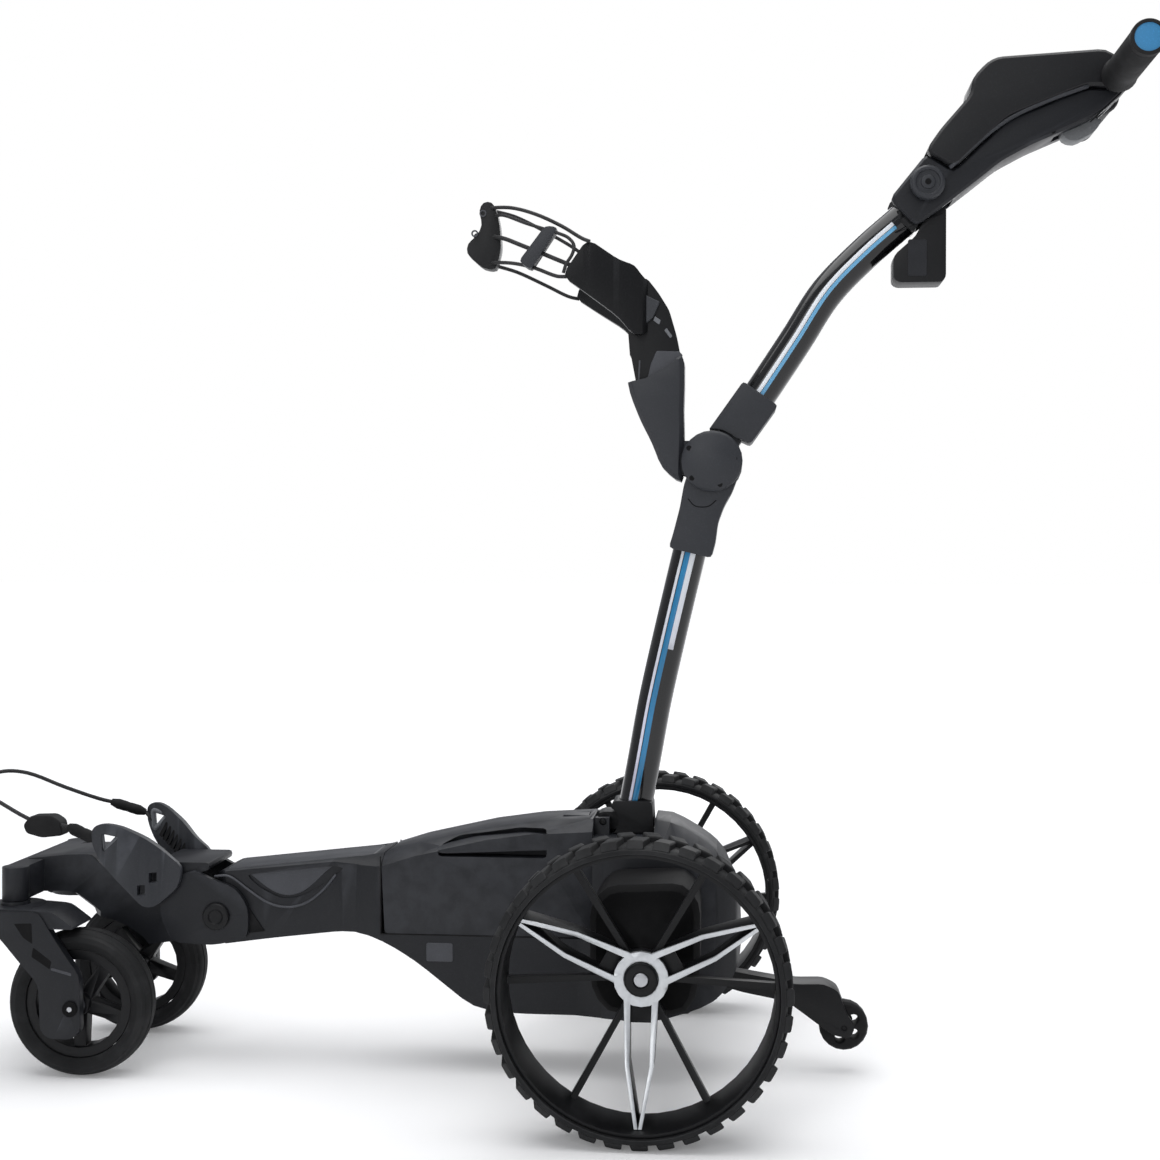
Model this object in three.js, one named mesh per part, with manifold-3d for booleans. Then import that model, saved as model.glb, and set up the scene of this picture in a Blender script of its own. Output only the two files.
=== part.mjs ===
// Electric golf trolley: three-point running gear, folding mast, lift-out battery.
// Millimetres. +X forwards, +Y left, +Z up. Drawn from the rear axle line, then centred.
import * as THREE from "three";
import { mergeVertices } from "three/addons/utils/BufferGeometryUtils.js";
import Module from "manifold-3d";

const wasm = await Module();
wasm.setup();

// ---- driving dimensions -------------------------------------------------
const GAP = 0.3;
const MERGE = 1e-4;
const BORE_SIDES = 12;

const REAR = { radius: 160, inner: 228, outer: 300, hub: 30, axle: 7.8, barrel: 146, wall: 4 };
const DISH = { hub: 221, rim: 281 };
const FRONT = { x: 667.5, radius: 86.5, track: 96, width: 44, rim: 66, axle: 4 };
const KINGPIN = { x: 750, radius: 15.5, bottom: 205, top: 244, pin: 5 };
const FRONT_FOLD = { x: 520, z: 180, bolt: 6 };
const MAST_FOLD = { x: 56, z: 298, pin: 4 };
const MID_FOLD = { x: -72, z: 725, cover: 36, pin: 6 };
const HANDLE_TILT = { x: -320.6, z: 1046, pin: 6 };
const TUBE = { radius: 20, wall: 2.5 };
const BATTERY = { rear: 66, front: 318, side: 60, floor: 165 };
const ANTI_TIP = { x: -68, z: 118, wheelX: -228.5, wheelZ: 56.4, radius: 29, width: 22 };
const BAR = { x: -535, z: 1163, half: 170, radius: 14, grip: 19 };
const CORD = { upper: 2.2, lower: 2.4 };

const PAINT = {
  shell: ["#25282d", 0.5, 0],
  satin: ["#3d4147", 0.5, 0],
  black: ["#101114", 0.45, 0],
  gloss: ["#0b0b0d", 0.2, 0.1],
  silver: ["#dfe4e6", 0.3, 0.8],
  steel: ["#9da1a6", 0.35, 0.9],
  rubber: ["#141416", 0.9, 0],
  blue: ["#3c87ad", 0.4, 0],
  grey: ["#6d7176", 0.5, 0],
  copper: ["#8a6d3b", 0.4, 0.6],
};

// ---- solids -------------------------------------------------------------
function solid(geometry) {
  const bare = geometry.index ? geometry.toNonIndexed() : geometry.clone();
  bare.deleteAttribute("normal");
  bare.deleteAttribute("uv");
  const merged = mergeVertices(bare, MERGE);
  const vertProperties = merged.attributes.position.array;
  const triVerts = new Uint32Array(merged.index.array);
  const made = new wasm.Manifold(new wasm.Mesh({ numProp: 3, vertProperties, triVerts }));
  if (made.volume() >= 0) return made;
  for (let i = 0; i < triVerts.length; i += 3) {
    [triVerts[i + 1], triVerts[i + 2]] = [triVerts[i + 2], triVerts[i + 1]];
  }
  return new wasm.Manifold(new wasm.Mesh({ numProp: 3, vertProperties, triVerts }));
}

function surface(body) {
  const mesh = body.getMesh();
  const positions = new Float32Array(mesh.numVert * 3);
  for (let i = 0; i < mesh.numVert; i++) {
    const start = i * mesh.numProp;
    positions.set(mesh.vertProperties.subarray(start, start + 3), i * 3);
  }
  const geometry = new THREE.BufferGeometry();
  geometry.setAttribute("position", new THREE.BufferAttribute(positions, 3));
  geometry.setIndex(new THREE.BufferAttribute(mesh.triVerts, 1));
  return geometry;
}

function fuse(...pieces) {
  return surface(pieces.map(solid).reduce((a, b) => a.add(b)));
}

function cut(piece, ...tools) {
  return surface(tools.map(solid).reduce((a, b) => a.subtract(b), solid(piece)));
}

function common(...pieces) {
  return surface(pieces.map(solid).reduce((a, b) => a.intersect(b)));
}

function mirrored(geometry) {
  return surface(solid(geometry.clone().scale(1, -1, 1)));
}

// ---- shapes -------------------------------------------------------------
function roundedShape(points, corner) {
  const shape = new THREE.Shape();
  const last = points.length;
  points.forEach(([x, y], i) => {
    const [px, py] = points[(i + last - 1) % last];
    const [nx, ny] = points[(i + 1) % last];
    const before = Math.hypot(px - x, py - y);
    const after = Math.hypot(nx - x, ny - y);
    const r = Math.min(corner, before * 0.45, after * 0.45);
    const ax = x + ((px - x) * r) / before;
    const ay = y + ((py - y) * r) / before;
    if (i === 0) shape.moveTo(ax, ay);
    else shape.lineTo(ax, ay);
    if (r > 0) shape.quadraticCurveTo(x, y, x + ((nx - x) * r) / after, y + ((ny - y) * r) / after);
  });
  shape.closePath();
  return shape;
}

function closes(geometry) {
  try {
    solid(geometry);
    return true;
  } catch {
    return false;
  }
}

// The bevel is eased a little whenever its offset would pinch the outline.
function prism(points, depth, { corner = 0, bevel = 0, curve = 2 } = {}) {
  const shape = roundedShape(points, Math.max(corner, 1.5 * bevel));
  for (let size = bevel; size >= 0; size -= 0.37) {
    const geometry = new THREE.ExtrudeGeometry(shape, {
      depth: depth - 2 * size,
      bevelEnabled: size > 0,
      bevelThickness: size,
      bevelSize: size,
      bevelOffset: -size,
      bevelSegments: 1,
      curveSegments: curve,
    });
    if (closes(geometry)) return geometry.translate(0, 0, size);
  }
  throw new Error("an outline crosses itself");
}

// Outline in X and Z, thickness across Y.
function plate(points, y0, y1, options) {
  return prism(points, y1 - y0, options).rotateX(Math.PI / 2).translate(0, y1, 0);
}

// Outline in X and Y, thickness up Z.
function slab(points, z0, z1, options) {
  return prism(points, z1 - z0, options).translate(0, 0, z0);
}

// Outline in Y and Z, thickness along X.
function section(points, x0, x1, options) {
  const basis = new THREE.Matrix4().makeBasis(
    new THREE.Vector3(0, 1, 0),
    new THREE.Vector3(0, 0, 1),
    new THREE.Vector3(1, 0, 0),
  );
  return prism(points, x1 - x0, options).applyMatrix4(basis).translate(x0, 0, 0);
}

function block([x0, x1], [y0, y1], [z0, z1]) {
  return new THREE.BoxGeometry(x1 - x0, y1 - y0, z1 - z0).translate(
    (x0 + x1) / 2,
    (y0 + y1) / 2,
    (z0 + z1) / 2,
  );
}

function rod(from, to, radius, sides = BORE_SIDES) {
  const a = new THREE.Vector3(...from);
  const b = new THREE.Vector3(...to);
  const geometry = new THREE.CylinderGeometry(radius, radius, a.distanceTo(b), sides);
  const turn = new THREE.Quaternion().setFromUnitVectors(
    new THREE.Vector3(0, 1, 0),
    b.clone().sub(a).normalize(),
  );
  const middle = a.add(b).multiplyScalar(0.5);
  return geometry.applyQuaternion(turn).translate(middle.x, middle.y, middle.z);
}

function crossRod(x, z, y0, y1, radius, sides = BORE_SIDES) {
  return rod([x, y0, z], [x, y1, z], radius, sides);
}

// Profile of [radius, y] turned about a crosswise axis through x, z.
function turned(profile, x, z, sides = 24) {
  const points = profile.map(([r, y]) => new THREE.Vector2(r, y));
  return new THREE.LatheGeometry(points, sides).translate(x, 0, z);
}

function ring(x, z, y0, y1, inner, outer, sides = 24) {
  return turned([[inner, y0], [outer, y0], [outer, y1], [inner, y1], [inner, y0]], x, z, sides);
}

function curved(points, radius, sides, steps) {
  const path = new THREE.CatmullRomCurve3(points.map((p) => new THREE.Vector3(...p)));
  const circle = new THREE.Shape(
    Array.from({ length: sides }, (_, i) => {
      const a = (i * 2 * Math.PI) / sides;
      return new THREE.Vector2(radius * Math.cos(a), radius * Math.sin(a));
    }),
  );
  return new THREE.ExtrudeGeometry(circle, { steps, bevelEnabled: false, extrudePath: path });
}

// A round bar along the path, a little longer than the path at both ends.
function overlong(path, radius) {
  const plugs = [path, path.slice().reverse()].map(([end, next]) => {
    const tip = new THREE.Vector3(...end);
    const out = tip.clone().sub(new THREE.Vector3(...next)).normalize();
    const inside = tip.clone().addScaledVector(out, -1);
    return rod(inside.toArray(), tip.addScaledVector(out, 2).toArray(), radius, 14);
  });
  return fuse(curved(path, radius, 14, 8), ...plugs);
}

// The same path with both ends pushed out a little.
function extended(path, extra) {
  const pushed = (end, next) => {
    const tip = new THREE.Vector3(...end);
    const out = tip.clone().sub(new THREE.Vector3(...next)).normalize();
    return tip.addScaledVector(out, extra).toArray();
  };
  const last = path.length - 1;
  return [pushed(path[0], path[1]), ...path.slice(1, last), pushed(path[last], path[last - 1])];
}

function tubeRoom(path) {
  return overlong(path, TUBE.radius + 2 * GAP);
}

function aboutAxle(geometry, x, z, degrees) {
  return geometry
    .clone()
    .translate(-x, 0, -z)
    .rotateY(THREE.MathUtils.degToRad(degrees))
    .translate(x, 0, z);
}

// ---- the assembly -------------------------------------------------------
const group = new THREE.Group();

function part(name, geometry, finish) {
  const [color, roughness, metalness] = PAINT[finish];
  const material = new THREE.MeshStandardMaterial({ color, roughness, metalness });
  const mesh = new THREE.Mesh(geometry, material);
  mesh.name = name;
  group.add(mesh);
}

function pair(name, geometry, finish) {
  part(`${name}_left`, geometry, finish);
  part(`${name}_right`, mirrored(geometry), finish);
}

// ---- chassis ------------------------------------------------------------
const BODY_TOP = [
  [-80, 268], [-57, 284], [-25, 302], [64, 303], [132, 299], [191, 290.5], [277, 271], [324, 256],
  [516, 234],
];
const BODY_SIDE = [
  [-10, 75], [-61, 91], [-88, 108], [-107, 144], [-107, 208], ...BODY_TOP, [527, 227], [527, 143],
  [450, 154], [351, 166], [315, 157], [276, 134], [207, 81], [160, 75],
];
const ROOF = { edge: 39, slope: 0.62, floor: -200 };
const BODY_PLAN = [
  [-110, -52], [-92, -78], [40, -80], [70, -61], [330, -60], [362, -44], [530, -42],
  [530, 42], [362, 44], [330, 60], [70, 61], [40, 80], [-92, 78], [-110, 52],
];
const SPINE_RECESS = [
  [487, 229], [385, 241], [363, 241], [392, 218], [421, 203], [443, 201], [468, 213],
];

// Everything under a roof that falls away on both sides of the flat top.
function underRoof(body) {
  const { edge, slope, floor } = ROOF;
  const first = BODY_TOP[0];
  const last = BODY_TOP[BODY_TOP.length - 1];
  const outline = [[-150, floor], [-150, first[1]], ...BODY_TOP, [560, last[1]], [560, floor]];
  const lean = new THREE.Matrix4().makeShear(0, 0, 0, -slope, 0, 0).setPosition(0, 0, slope * edge);
  const near = plate(outline, -100, 100).applyMatrix4(lean);
  return common(body, near, mirrored(near));
}

function chassisShell() {
  const outside = underRoof(
    common(
      plate(BODY_SIDE, -90, 90, { corner: 16, bevel: 6 }),
      slab(BODY_PLAN, 40, 330, { corner: 18, curve: 1 }),
    ),
  );
  const saddle = block([BATTERY.rear, BATTERY.front], [-95, 95], [BATTERY.floor - 0.5, 340]);
  const bootSeat = block([-6, 48.5], [-95, 95], [283, 340]);
  const lugSeat = block([40, BATTERY.rear + 1], [-19.5, 19.5], [283, 340]);
  const lugSides = [-1, 1].map((side) =>
    block([48, BATTERY.rear + 1], side > 0 ? [34, 95] : [-95, -34], [283, 340]),
  );
  const rearBay = block([-86, 52], [-70, 70], [81.5, 236]);
  const circuitBay = block([40, 190], [-50, 50], [81.5, 150]);
  const mouth = block([-50, 158], [-50, 50], [60, 100]);
  const spineBay = section([[-30, 100], [30, 100], [30, 225], [-30, 225]], 372, 488);
  const recesses = [-1, 1].map((side) =>
    plate(SPINE_RECESS, side > 0 ? 40 : -48, side > 0 ? 48 : -40, { corner: 8 }),
  );
  const coverSeat = plate([[330, 248], [512, 227], [512, 250], [330, 280]], -35, 35);
  const motorHoles = crossRod(0, REAR.radius, -90, 90, 36.3, 24);
  const mastPin = crossRod(MAST_FOLD.x, MAST_FOLD.z, -60, 60, MAST_FOLD.pin + GAP);
  const boltHole = crossRod(FRONT_FOLD.x, FRONT_FOLD.z, -60, 60, FRONT_FOLD.bolt + GAP);
  const armSlot = block([-112, -50], [-13, 13], [90, 152]);
  const armPin = crossRod(ANTI_TIP.x, ANTI_TIP.z, -22, 22, 4 + GAP);
  const shell = cut(
    outside, saddle, bootSeat, lugSeat, ...lugSides, rearBay, circuitBay, mouth, spineBay,
    ...recesses, coverSeat, motorHoles, mastPin, boltHole,
  );
  const armCheeks = [-1, 1].map((side) =>
    block([-104, -52], side > 0 ? [13.5, 24] : [-24, -13.5], [84, 150]),
  );
  const keel = block([120, 250], [-9, 9], [BATTERY.floor - 4, BATTERY.floor + 6]);
  const plug = block([82, 102], [-24, 24], [BATTERY.floor - 4, BATTERY.floor + 12]);
  const whole = fuse(shell, ...armCheeks.map((cheek) => common(cheek, outside)), keel, plug);
  return cut(common(whole, fuse(outside, keel, plug)), armSlot, armPin);
}

function bellyCover() {
  return slab([[-48, -48], [156, -48], [156, 48], [-48, 48]], 76, 80.5, { corner: 8 });
}

function spineCover() {
  return plate([[331, 248.5], [511, 227.5], [511, 234.8], [331, 255.2]], -34.5, 34.5);
}

function controlBoard() {
  return slab([[70, -40], [180, -40], [180, 40], [70, 40]], 100, 112, { corner: 3 });
}

part("chassis_shell", chassisShell(), "shell");
part("belly_cover", bellyCover(), "black");
part("spine_cover", spineCover(), "satin");
part("control_board", controlBoard(), "copper");

// ---- drive --------------------------------------------------------------
function gearmotor() {
  const can = crossRod(0, REAR.radius, 12, 86, 36, 24);
  const outline = [
    [-62, 150], [-50, 112], [40, 112], [58, 140], [58, 230], [40, 252], [-44, 256], [-62, 235],
  ];
  const gearcase = plate(outline, 80.4, 190, { corner: 22, bevel: 7 });
  const snout = crossRod(0, REAR.radius, 188, 200, 24, 24);
  const bore = crossRod(0, REAR.radius, 150, 205, REAR.axle + GAP, 20);
  return cut(fuse(can, gearcase, snout), bore);
}

pair("gearmotor", gearmotor(), "black");
pair("drive_axle", crossRod(0, REAR.radius, 152, DISH.hub + 7, REAR.axle, 20), "steel");

// ---- rear wheels --------------------------------------------------------
const SPOKES = 3;
const RIBS = 6;
const WHEEL_SIDES = 48;
// One strip of a V spoke pointing down from the axle: [outer x, inner x, z, share of the dish].
const STRIP = [[-18.5, -11.5, -22, 0], [-15.3, -10.6, -84, 0.52], [-4, -0.3, -141, 1]];

function rearTyre() {
  const { radius, inner, outer, barrel } = REAR;
  const shoulder = radius - 9;
  const bead = barrel + GAP;
  const profile = [
    [bead, inner + 1], [shoulder, inner], [radius, inner + 11],
    [radius, outer - 11], [shoulder, outer], [bead, outer - 1], [bead, inner + 1],
  ];
  return turned(profile, 0, radius, WHEEL_SIDES);
}

// A bar through rows of [x from, x to, z, face y, depth].
function dishedBar(rows) {
  const corners = rows.flatMap(([x0, x1, z, y, depth]) => [
    [x0, y, z], [x1, y, z], [x1, y - depth, z], [x0, y - depth, z],
  ]);
  const faces = [[0, 1, 2], [0, 2, 3]];
  for (let row = 0; row < rows.length - 1; row++) {
    for (let side = 0; side < 4; side++) {
      const a = row * 4 + side;
      const b = row * 4 + ((side + 1) % 4);
      faces.push([a, a + 4, b + 4], [a, b + 4, b]);
    }
  }
  const last = (rows.length - 1) * 4;
  faces.push([last, last + 2, last + 1], [last, last + 3, last + 2]);
  const geometry = new THREE.BufferGeometry();
  geometry.setAttribute("position", new THREE.Float32BufferAttribute(corners.flat(), 3));
  geometry.setIndex(faces.flat());
  return surface(solid(geometry));
}

// Both strips of a V, between two heights of the dish, with their depth at the axle and at the rim.
function vee([y0, y1], [depth0, depth1]) {
  return [1, -1].map((side) =>
    dishedBar(
      STRIP.map(([x0, x1, z, share]) => [
        side * x0, side * x1, z, y0 + (y1 - y0) * share, depth0 + (depth1 - depth0) * share,
      ]),
    ),
  );
}

function spokeAngles() {
  return Array.from({ length: SPOKES }, (_, i) => (i * 360) / SPOKES);
}

function spokeTrim() {
  const strips = spokeAngles().flatMap((angle) =>
    vee([DISH.hub + 2, DISH.rim], [3, 3]).map((strip) => aboutAxle(strip, 0, 0, angle)),
  );
  const collar = ring(0, 0, DISH.hub - 3, DISH.hub + 3, 19, 29.5, 20);
  return fuse(collar, ...strips).translate(0, 0, REAR.radius);
}

function rearRim() {
  const { barrel, wall, inner, outer } = REAR;
  const skin = ring(0, 0, inner - 0.5, outer - 6, barrel - wall, barrel, WHEEL_SIDES);
  const hub = ring(0, 0, inner - 22, DISH.hub - 3.4, REAR.axle + GAP, REAR.hub, 20);
  const pieces = [skin, hub];
  for (const angle of spokeAngles()) {
    const webs = vee([DISH.hub - 6, DISH.rim - 3.5], [12, 44]);
    const foot = dishedBar([[-4, 4, -139, DISH.rim - 4, 40], [-6, 6, -145, DISH.rim - 4, 40]]);
    const gusset = dishedBar([[-19, 19, -22, DISH.hub - 7, 6], [-15, 15, -46, DISH.hub + 3, 6]]);
    pieces.push(...[...webs, foot, gusset].map((piece) => aboutAxle(piece, 0, 0, angle)));
  }
  for (let i = 0; i < RIBS; i++) {
    const rib = dishedBar([[-3.2, 3.2, -24, DISH.hub - 5, 10], [-3.8, 3.8, -145, inner + 14, 10]]);
    pieces.push(aboutAxle(rib, 0, 0, 30 + (i * 360) / RIBS));
  }
  return fuse(...pieces).translate(0, 0, REAR.radius);
}

function hubButton() {
  const face = DISH.hub;
  const inner = REAR.axle + 2 * GAP;
  const profile = [
    [inner, face], [18.5, face], [18.5, face + 6], [16.5, face + 8], [inner, face + 8], [inner, face],
  ];
  return turned(profile, 0, REAR.radius, 20);
}

pair("rear_tyre", rearTyre(), "rubber");
pair("rear_rim", rearRim(), "black");
pair("spoke_trim", spokeTrim(), "silver");
pair("hub_button", hubButton(), "black");

// ---- battery ------------------------------------------------------------
const HOLD = { x0: 120, x1: 250, depth: 24 };

function batteryPack() {
  const side = [
    [BATTERY.rear + 0.5, 166], [BATTERY.rear + 0.5, 303], [132, 299], [191, 290.5],
    [277, 271], [BATTERY.front - 0.5, 258], [BATTERY.front - 5, 166],
  ];
  const body = underRoof(plate(side, -BATTERY.side, BATTERY.side, { corner: 4 }));
  const outline = [
    [HOLD.x0, 258], [HOLD.x1, 258], [HOLD.x1 - 2, 270], [HOLD.x1 - 24, 281], [HOLD.x0 + 32, 292],
    [HOLD.x0, 292],
  ];
  const well = plate(outline, BATTERY.side - HOLD.depth, BATTERY.side + 5, { corner: 5 });
  const groove = block([118, 252], [-10, 10], [160, 172]);
  const latchSeat = block([74, 106], [-12.5, 12.5], [289.5, 320]);
  const terminalSeat = block([80, 104], [-26, 26], [160, 178]);
  const hollow = cut(body, well, mirrored(well), groove, latchSeat, terminalSeat);
  return fuse(hollow, batteryGrip(), mirrored(batteryGrip()));
}

function batteryGrip() {
  const bar = [
    [HOLD.x0 - 8, 268], [HOLD.x0 - 8, 285], [HOLD.x0 + 24, 287], [HOLD.x1 - 46, 281],
    [HOLD.x1 - 5, 271], [HOLD.x1 + 6, 265], [HOLD.x1 - 6, 261.5],
  ];
  return underRoof(plate(bar, 43, 58.5, { corner: 7 }));
}

part("battery_pack", batteryPack(), "shell");
part("battery_latch", block([75, 105], [-12, 12], [293, 302.5]), "satin");

// ---- mast ---------------------------------------------------------------
const LOWER_PATH = [
  [25, 0, 287.5], [18.7, 0, 317], [8, 0, 374], [-4, 0, 440], [-23, 0, 525], [-44, 0, 614], [-53, 0, 652],
];
const UPPER_PATH = [
  [-104, 0, 770], [-130, 0, 808.5], [-170, 0, 869], [-207, 0, 926.6], [-250, 0, 971], [-296, 0, 1011],
];

function tube(path) {
  const hollow = curved(extended(path, 2), TUBE.radius - TUBE.wall, 14, 8);
  return cut(curved(path, TUBE.radius, 14, 8), hollow);
}

// A crosswise hole for a pin of the joint at x, z.
function pinHole({ x, z, pin }) {
  return crossRod(x, z, -60, 60, pin + GAP);
}

function mastBoot() {
  const body = plate([[-4, 284], [-2, 322], [46, 322], [48, 284]], -28, 28, { corner: 5 });
  const tongue = plate([[30, 286], [30, 308], [64, 308], [64, 286]], -19, 19, { corner: 8 });
  const lugRoom = crossRod(MAST_FOLD.x, MAST_FOLD.z, -40, 40, 18.5, 24);
  return cut(fuse(cut(body, lugRoom), tongue), tubeRoom(LOWER_PATH), pinHole(MAST_FOLD));
}

const LOWER_COLLAR = [
  [-21, 623], [-26, 639], [-34, 670], [-39, 698], [-44, 712], [-72, 724], [-104, 712], [-96, 690],
  [-86, 672], [-79, 653], [-76, 629], [-71, 611],
];

function lowerBracket() {
  const { x, z, cover } = MID_FOLD;
  const body = fuse(
    plate(LOWER_COLLAR, -27, 27, { corner: 5 }),
    crossRod(x, z, -32, 32, cover, 24),
  );
  const slot = fuse(
    crossRod(x, z, -19.7, 19.7, 38.5, 24),
    block([-140, 0], [-19.7, 19.7], [742, 800]),
    block([-140, -88], [-13.5, 13.5], [684, 750]),
  );
  return cut(body, slot, tubeRoom(LOWER_PATH), pinHole(MID_FOLD));
}

const UPPER_AXIS = { from: [MID_FOLD.x, MID_FOLD.z], to: [-129, 805] };
// Distance up the upper mast from the fold, and offset across it.
const UPPER_TONGUE = [[0, -14], [0, 14], [60, 14], [60, -14]];
const UPPER_COLLAR = [[22, -25], [30, 0], [37.6, 2], [41.4, 14], [43, 25], [98, 25], [98, -25]];

function acrossUpper([distance, offset]) {
  const { from, to } = UPPER_AXIS;
  const dx = to[0] - from[0];
  const dz = to[1] - from[1];
  const length = Math.hypot(dx, dz);
  return [
    from[0] + (dx * distance - dz * offset) / length,
    from[1] + (dz * distance + dx * offset) / length,
  ];
}

function upperBracket() {
  const { x, z, cover } = MID_FOLD;
  const hub = crossRod(x, z, -12.7, 12.7, 30, 20);
  const tongue = plate(UPPER_TONGUE.map(acrossUpper), -12.7, 12.7);
  const collar = plate(UPPER_COLLAR.map(acrossUpper), -26, 26, { corner: 4 });
  const coverRoom = crossRod(x, z, -40, 40, cover + 3, 40);
  return cut(fuse(hub, tongue, cut(collar, coverRoom)), tubeRoom(UPPER_PATH), pinHole(MID_FOLD));
}

function jointCover() {
  const { x, z, cover } = MID_FOLD;
  return turned([[0, 32.3], [cover, 32.3], [cover, 34], [cover - 4, 36.4], [0, 38]], x, z, 24);
}

part("mast_boot", mastBoot(), "black");
part("mast_pin", crossRod(MAST_FOLD.x, MAST_FOLD.z, -33, 33, MAST_FOLD.pin), "black");
part("lower_tube", tube(LOWER_PATH), "gloss");
part("lower_bracket", lowerBracket(), "satin");
part("upper_bracket", upperBracket(), "satin");
part("mid_pin", crossRod(MID_FOLD.x, MID_FOLD.z, -31.5, 31.5, MID_FOLD.pin), "steel");
pair("joint_cover", jointCover(), "satin");
part("upper_tube", tube(UPPER_PATH), "gloss");

// ---- upper bag rest -----------------------------------------------------
const POD = [
  [-37, 698], [-12, 718], [-1, 747], [13, 774], [26, 807], [31, 838], [27, 850], [-39, 853],
  [-39, 812], [-38, 787], [-39, 760],
];
const STEM = [
  [-33, 800], [-34, 853], [-30, 874], [-21, 905], [-8, 926], [6, 944], [22, 940], [28, 880], [24, 830],
  [14, 800],
];
const WING_SIDE = [
  [0, 935], [12, 946], [19, 956], [36, 959], [72, 981], [101, 937], [36, 892], [20, 872], [0, 880],
];
const WING_PLAN = [[4, 24], [36, 54], [68, 72], [104, 82], [104, 73], [72, 63], [42, 45], [14, 19]];
const STRAP_TOP = [
  [69, 75, 977], [78, 73, 981], [103, 62, 998], [135, 50, 1015], [170, 25, 1029], [199, 0, 1033],
];
const STRAP_LOW = [[96, 78.5, 936], [108, 72, 938], [135, 60, 950], [168, 30, 962], [196, 0, 967]];

function strapPath(near) {
  const far = near.slice(0, -1).reverse().map(([x, y, z]) => [x, -y, z]);
  return [...near, ...far];
}

// The room that both straps take, with a little to spare.
function strapRoom(spare) {
  return [STRAP_TOP, STRAP_LOW].map((side) => curved(strapPath(side), CORD.upper + spare, 8, 18));
}

function bagArm() {
  const { x, z } = MID_FOLD;
  const ears = [-1, 1].map((s) => {
    const y = s > 0 ? [13, 19.4] : [-19.4, -13];
    const reach = plate([[x, 700], [-30, 712], [-20, 750], [x, 750]], ...y);
    return fuse(crossRod(x, z, ...y, 30, 20), reach);
  });
  const pod = plate(POD, -26, 26, { corner: 8, bevel: 7 });
  const sweep = crossRod(x, z, -40, 40, 38.5, 24);
  const hubRoom = crossRod(x, z, -12.9, 12.9, 44, 20);
  const podBody = cut(pod, sweep, hubRoom);
  const pocket = plate([[-34, 799], [-34, 880], [25, 880], [25, 840], [15, 799]], -20, 20, { corner: 4 });
  const mouth = plate([[-34, 851], [-16, 835], [7, 824], [45, 816], [45, 900], [-34, 900]], -40, 40);
  return cut(fuse(podBody, ...ears), pocket, mouth, pinHole(MID_FOLD));
}

function bagCradle() {
  const stem = plate(STEM, -19.5, 19.5, { corner: 5 });
  const plan = [...WING_PLAN, ...WING_PLAN.slice().reverse().map(([x, y]) => [x, -y])];
  const wings = common(
    slab(plan, 840, 1000, { corner: 8 }),
    plate(WING_SIDE, -100, 100, { corner: 10 }),
  );
  const room = plate(
    [[-33.6, 795], [-33.6, 990], [100, 990], [100, 852], [24.6, 852], [14.6, 799.5]],
    -100,
    100,
  );
  return cut(common(fuse(stem, wings), room), ...strapRoom(0.5));
}

function strapHook() {
  const outline = [
    [188, 958], [204, 960], [224, 978], [223, 990], [211, 1000], [205, 1012], [209, 1030],
    [204, 1040], [193, 1040], [188, 1030], [184, 1012], [182, 985],
  ];
  return cut(plate(outline, -9, 9, { corner: 6 }), ...strapRoom(0.4));
}

function strapSlider() {
  const bar = plate([[107, 996], [122, 998], [153, 957], [139, 947]], 48, 67, { corner: 5 });
  return cut(bar, ...strapRoom(0.4));
}

part("bag_arm", bagArm(), "satin");
part("bag_cradle", bagCradle(), "black");
part("upper_strap_top", curved(strapPath(STRAP_TOP), CORD.upper, 8, 18), "rubber");
part("upper_strap_low", curved(strapPath(STRAP_LOW), CORD.upper, 8, 18), "rubber");
part("strap_hook", strapHook(), "black");
part("strap_slider", strapSlider(), "black");

// ---- handle -------------------------------------------------------------
const HANDLE_FORK = [[-250, 1090], [-250, 980], [-306, 980], [-352, 1020]];
const HANDLE_LOW = [
  [-278, 1030], [-308, 998], [-335, 1017], [-373, 1046], [-406, 1072], [-440, 1090], [-500, 1115],
  [-520, 1126], [-546, 1150], [-502, 1153.5], [-413, 1119.5], [-351, 1061.5], [-320, 1082],
];
const HANDLE_TOP = [
  [-318, 1083], [-335, 1108], [-370, 1148], [-371, 1166], [-388, 1184], [-400, 1190], [-522, 1196],
  [-546, 1178], [-552, 1156], [-546, 1151], [-502, 1154.5], [-413, 1120.5], [-351, 1062.5],
];

function handleLower() {
  const body = plate(HANDLE_LOW, -30, 30, { corner: 7, bevel: 5 });
  const fork = plate([...HANDLE_FORK, [-352, 1058], [-330, 1090]], -21, 21);
  const triggerRoom = block([-530, -468], [-12, 12], [1080, 1136]);
  const bar = crossRod(BAR.x, BAR.z, -40, 40, BAR.radius + GAP, 24);
  return cut(body, fork, triggerRoom, bar, pinHole(HANDLE_TILT));
}

function handleUpper() {
  const body = plate(HANDLE_TOP, -38, 38, { corner: 9, bevel: 6 });
  const fork = plate([...HANDLE_FORK, [-352, 1082], [-330, 1090]], -21, 21);
  return cut(body, fork, crossRod(BAR.x, BAR.z, -40, 40, BAR.radius + GAP, 24));
}

function tubeHead() {
  const outline = [
    [-288, 1008], [-306, 992], [-336, 1040], [-334, 1058], [-318, 1066], [-305, 1052], [-290, 1022],
  ];
  const head = plate(outline, -20.5, 20.5, { corner: 6 });
  const hub = crossRod(HANDLE_TILT.x, HANDLE_TILT.z, -20.5, 20.5, 17, 24);
  return cut(fuse(head, hub), tubeRoom(UPPER_PATH), pinHole(HANDLE_TILT));
}

function tiltPin() {
  const { x, z, pin } = HANDLE_TILT;
  return fuse(crossRod(x, z, -33, 30, pin), crossRod(x, z, -35, -30.4, 11));
}

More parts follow.
